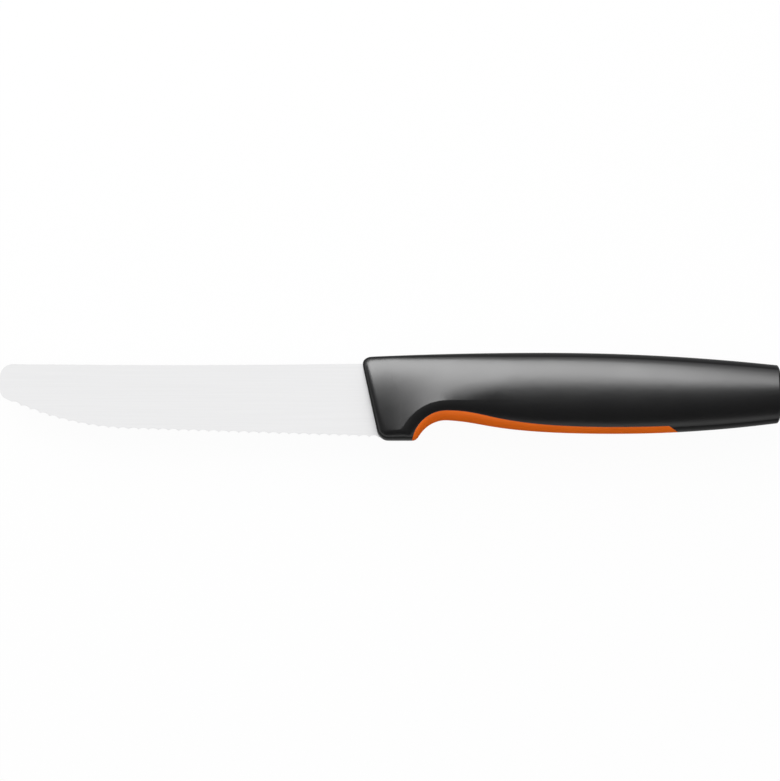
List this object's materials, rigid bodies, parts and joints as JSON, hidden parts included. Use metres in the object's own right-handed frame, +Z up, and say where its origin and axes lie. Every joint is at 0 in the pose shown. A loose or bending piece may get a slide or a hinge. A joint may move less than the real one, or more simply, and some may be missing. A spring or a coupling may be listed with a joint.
{
  "type": "tomato knife",
  "caption": "Small kitchen knife with a scalloped, square-nosed steel blade on a moulded black handle with a guard, a finger notch and an orange strip let into the underside.",
  "frame": {"origin": "on the table under the middle of the knife's box, with the knife lying on its side", "axes": "+X from the tip of the blade to the butt of the handle, +Y from the cutting edge to the spine, +Z up, square to the blade, out of the face with the ground scallops"},
  "size_m": [0.233, 0.0263, 0.019],
  "materials": {
    "steel": "satin stainless steel, ground along the blade",
    "core_plastic": "plain moulded plastic, hidden inside the grip",
    "black_plastic": "finely textured black moulded plastic with a soft sheen",
    "orange_rubber": "smooth orange soft plastic with a dull sheen"
  },
  "bodies": {
    "root": {"blade": "steel", "handle_core": "core_plastic", "grip_body": "black_plastic", "finger_strip": "orange_rubber"}
  },
  "joints": []
}
